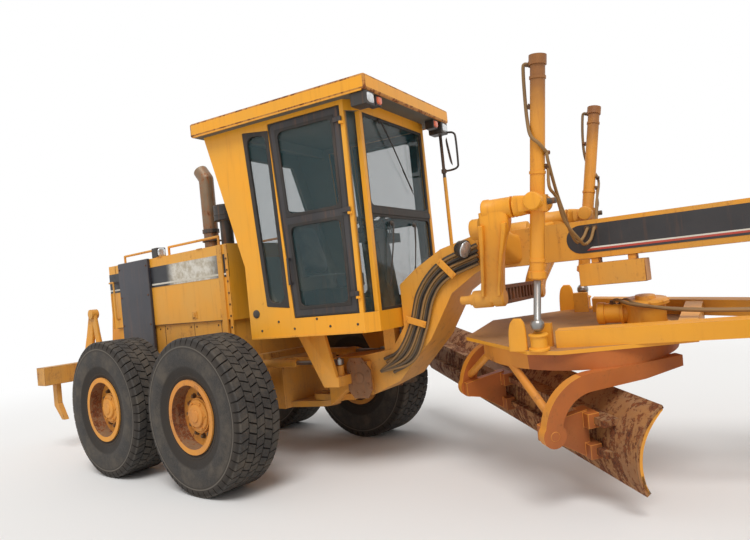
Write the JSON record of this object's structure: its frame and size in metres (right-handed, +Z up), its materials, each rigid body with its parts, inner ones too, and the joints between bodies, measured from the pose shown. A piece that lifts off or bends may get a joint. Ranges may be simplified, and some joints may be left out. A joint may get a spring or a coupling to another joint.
{
  "type": "motor grader",
  "caption": "Motor grader with articulated frame, cab, tandem drive wheels, leaning and steering front wheels, a turning circle with a curved blade, and a rear ripper.",
  "frame": {"origin": "on the ground, in the front frame's middle plane, 4.80 m behind the front axle and 0.42 m ahead of the articulation pin's axis", "axes": "+X forward along the front frame, +Y to the machine's left, +Z up"},
  "size_m": [10.5019, 3.6196, 3.57],
  "materials": {
    "ball_steel": "greased",
    "band_paint": "satin paint",
    "black_trim": "matt",
    "blade_steel": "rusty with patches of paint",
    "cab_glass": "tinted",
    "cover_paint": "satin paint",
    "door_trim": "satin",
    "engine_iron": "oily",
    "hose_rubber": "matt",
    "lamp_black": "gloss with clear lenses",
    "rim_paint": "worn paint, rusty",
    "rod_chrome": "polished",
    "seat_fabric": "woven",
    "stack_steel": "heat-stained, rusty",
    "tyre_rubber": "dusty matt rubber",
    "yellow_paint": "worn gloss paint with rust and dust"
  },
  "bodies": {
    "front": {"front_frame": "yellow_paint", "cab_shell": "yellow_paint", "cab_roof": "yellow_paint", "cab_glass": "cab_glass", "seat": "seat_fabric", "console": "black_trim", "cab_lamps": "lamp_black", "mirrors": "black_trim", "ladder": "black_trim", "lift_saddle": "yellow_paint", "accumulator_box": "yellow_paint", "hoses": "hose_rubber", "headlamps": "lamp_black", "front_axle": "yellow_paint"},
    "rear": {"rear_frame": "yellow_paint", "tandem_axle": "yellow_paint", "engine": "engine_iron", "hood": "yellow_paint", "hood_bands": "band_paint", "side_covers": "cover_paint", "handrails": "yellow_paint", "stacks": "stack_steel", "rear_lamps": "lamp_black", "ripper_frame": "yellow_paint"},
    "ripper": {"ripper": "yellow_paint"},
    "wheel_mid_right": {"rim_mid_right": "rim_paint", "tyre_mid_right": "tyre_rubber"},
    "wheel_back_right": {"rim_back_right": "rim_paint", "tyre_back_right": "tyre_rubber"},
    "wheel_mid_left": {"rim_mid_left": "rim_paint", "tyre_mid_left": "tyre_rubber"},
    "wheel_back_left": {"rim_back_left": "rim_paint", "tyre_back_left": "tyre_rubber"},
    "artic_barrel_right": {"artic_barrel_right": "yellow_paint"},
    "artic_rod_right": {"artic_rod_right": "rod_chrome"},
    "artic_barrel_left": {"artic_barrel_left": "yellow_paint"},
    "artic_rod_left": {"artic_rod_left": "rod_chrome"},
    "lean_bracket_right": {"lean_bracket_right": "yellow_paint"},
    "knuckle_right": {"knuckle_right": "yellow_paint"},
    "wheel_front_right": {"rim_front_right": "rim_paint", "tyre_front_right": "tyre_rubber"},
    "lean_bracket_left": {"lean_bracket_left": "yellow_paint"},
    "knuckle_left": {"knuckle_left": "yellow_paint"},
    "wheel_front_left": {"rim_front_left": "rim_paint", "tyre_front_left": "tyre_rubber"},
    "drawbar_ball": {"drawbar_ball": "ball_steel"},
    "drawbar": {"drawbar": "yellow_paint"},
    "circle": {"circle_gear": "yellow_paint"},
    "blade_carrier": {"blade_carrier": "yellow_paint"},
    "moldboard": {"moldboard": "blade_steel"},
    "lift_barrel_right": {"lift_barrel_right": "yellow_paint"},
    "lift_rod_right": {"lift_rod_right": "rod_chrome"},
    "lift_barrel_left": {"lift_barrel_left": "yellow_paint"},
    "lift_rod_left": {"lift_rod_left": "rod_chrome"},
    "door_right": {"door_right": "door_trim", "door_glass_right": "cab_glass"},
    "door_left": {"door_left": "door_trim", "door_glass_left": "cab_glass"}
  },
  "joints": [
    {"name": "articulation", "type": "hinge", "parent": "front", "child": "rear", "pos_m": [-0.42, 0, 0.86], "axis": [0, 0, 1], "range_deg": [-10, 30]},
    {"name": "wheel_mid_right_spin", "type": "hinge", "parent": "rear", "child": "wheel_mid_right", "pos_m": [-1.0263, -1.06591, 0.738], "axis": [0.1736, 0.9848, 0], "continuous": true},
    {"name": "wheel_back_right_spin", "type": "hinge", "parent": "rear", "child": "wheel_back_right", "pos_m": [-2.65715, -0.77835, 0.738], "axis": [0.1736, 0.9848, 0], "continuous": true},
    {"name": "wheel_mid_left_spin", "type": "hinge", "parent": "rear", "child": "wheel_mid_left", "pos_m": [-0.62518, 1.209, 0.738], "axis": [0.1736, 0.9848, 0], "continuous": true},
    {"name": "wheel_back_left_spin", "type": "hinge", "parent": "rear", "child": "wheel_back_left", "pos_m": [-2.25602, 1.49656, 0.738], "axis": [0.1736, 0.9848, 0], "continuous": true},
    {"name": "ripper_lower", "type": "hinge", "parent": "rear", "child": "ripper", "pos_m": [-3.87668, 0.6095, 0.9], "axis": [-0.1736, -0.9848, 0], "range_deg": [0, 40]},
    {"name": "artic_barrel_turn_right", "type": "hinge", "parent": "rear", "child": "artic_barrel_right", "pos_m": [-1.09424, -0.36852, 1.09], "axis": [0, 0, 1], "range_deg": [-14, 14]},
    {"name": "artic_rod_slide_right", "type": "slide", "parent": "artic_barrel_right", "child": "artic_rod_right", "axis": [0.999, -0.0446, 0], "range_m": [-0.26, 0.26]},
    {"name": "artic_barrel_turn_left", "type": "hinge", "parent": "rear", "child": "artic_barrel_left", "pos_m": [-0.92753, 0.5769, 1.09], "axis": [0, 0, 1], "range_deg": [-14, 14]},
    {"name": "artic_rod_slide_left", "type": "slide", "parent": "artic_barrel_left", "child": "artic_rod_left", "axis": [0.9876, -0.1569, 0], "range_m": [-0.26, 0.26]},
    {"name": "wheel_lean_right", "type": "hinge", "parent": "front", "child": "lean_bracket_right", "pos_m": [4.8, -0.77, 0.738], "axis": [1, 0, 0], "range_deg": [-18, 18]},
    {"name": "steering_right", "type": "hinge", "parent": "lean_bracket_right", "child": "knuckle_right", "pos_m": [4.8, -0.93, 0.738], "axis": [0, 0, 1], "range_deg": [-50, 50]},
    {"name": "wheel_front_right_spin", "type": "hinge", "parent": "knuckle_right", "child": "wheel_front_right", "pos_m": [4.8, -1.155, 0.738], "axis": [0, 1, 0], "continuous": true},
    {"name": "wheel_lean_left", "type": "hinge", "parent": "front", "child": "lean_bracket_left", "pos_m": [4.8, 0.77, 0.738], "axis": [1, 0, 0], "range_deg": [-18, 18]},
    {"name": "steering_left", "type": "hinge", "parent": "lean_bracket_left", "child": "knuckle_left", "pos_m": [4.8, 0.93, 0.738], "axis": [0, 0, 1], "range_deg": [-50, 50]},
    {"name": "wheel_front_left_spin", "type": "hinge", "parent": "knuckle_left", "child": "wheel_front_left", "pos_m": [4.8, 1.155, 0.738], "axis": [0, 1, 0], "continuous": true},
    {"name": "drawbar_swing", "type": "hinge", "parent": "front", "child": "drawbar_ball", "pos_m": [5.02, 0, 1.05], "axis": [0, 0, 1], "range_deg": [-10, 2.5]},
    {"name": "drawbar_lift", "type": "hinge", "parent": "drawbar_ball", "child": "drawbar", "pos_m": [5.02, 0, 1.05], "axis": [0, 1, 0], "range_deg": [-8, 2]},
    {"name": "circle_turn", "type": "hinge", "parent": "drawbar", "child": "circle", "pos_m": [2.20225, 0.00113, 1.16308], "axis": [0.0433, -0.1132, 0.9926], "range_deg": [-90, 3]},
    {"name": "blade_tilt", "type": "hinge", "parent": "circle", "child": "blade_carrier", "pos_m": [1.66664, -0.44787, 0.66882], "axis": [-0.6967, 0.7087, 0.1112], "range_deg": [-5, 40]},
    {"name": "blade_sideshift", "type": "slide", "parent": "blade_carrier", "child": "moldboard", "axis": [-0.6967, 0.7087, 0.1112], "range_m": [-1.5, 0]},
    {"name": "lift_barrel_swing_right", "type": "hinge", "parent": "front", "child": "lift_barrel_right", "pos_m": [2.23, -0.86, 2.25], "axis": [1, 0, 0], "range_deg": [-12, 38]},
    {"name": "lift_rod_slide_right", "type": "slide", "parent": "lift_barrel_right", "child": "lift_rod_right", "axis": [0.1216, -0.038, 0.9919], "range_m": [-0.42, 0.12]},
    {"name": "lift_barrel_swing_left", "type": "hinge", "parent": "front", "child": "lift_barrel_left", "pos_m": [2.23, 0.86, 2.25], "axis": [1, 0, 0], "range_deg": [-12, 38]},
    {"name": "lift_rod_slide_left", "type": "slide", "parent": "lift_barrel_left", "child": "lift_rod_left", "axis": [0.14, 0.1328, 0.9812], "range_m": [-0.42, 0.12]},
    {"name": "door_hinge_right", "type": "hinge", "parent": "front", "child": "door_right", "pos_m": [0.566, -0.786, 1.7], "axis": [0, 0, 1], "range_deg": [0, 95]},
    {"name": "door_hinge_left", "type": "hinge", "parent": "front", "child": "door_left", "pos_m": [0.566, 0.786, 1.7], "axis": [0, 0, -1], "range_deg": [0, 95]}
  ],
  "couplings": [
    {"joint": "artic_barrel_turn_right", "follows": "articulation", "ratio": -0.419},
    {"joint": "artic_rod_slide_right", "follows": "articulation", "m_per_rad": -0.4435},
    {"joint": "artic_barrel_turn_left", "follows": "articulation", "ratio": -0.419},
    {"joint": "artic_rod_slide_left", "follows": "articulation", "m_per_rad": 0.4435},
    {"joint": "wheel_lean_left", "follows": "wheel_lean_right", "ratio": 1},
    {"joint": "steering_left", "follows": "steering_right", "ratio": 1},
    {"joint": "lift_barrel_swing_right", "follows": "drawbar_swing", "ratio": -2.948},
    {"joint": "lift_rod_slide_right", "follows": "drawbar_lift", "m_per_rad": 2.91},
    {"joint": "lift_barrel_swing_left", "follows": "drawbar_swing", "ratio": -3.673},
    {"joint": "lift_rod_slide_left", "follows": "drawbar_lift", "m_per_rad": 2.91}
  ]
}
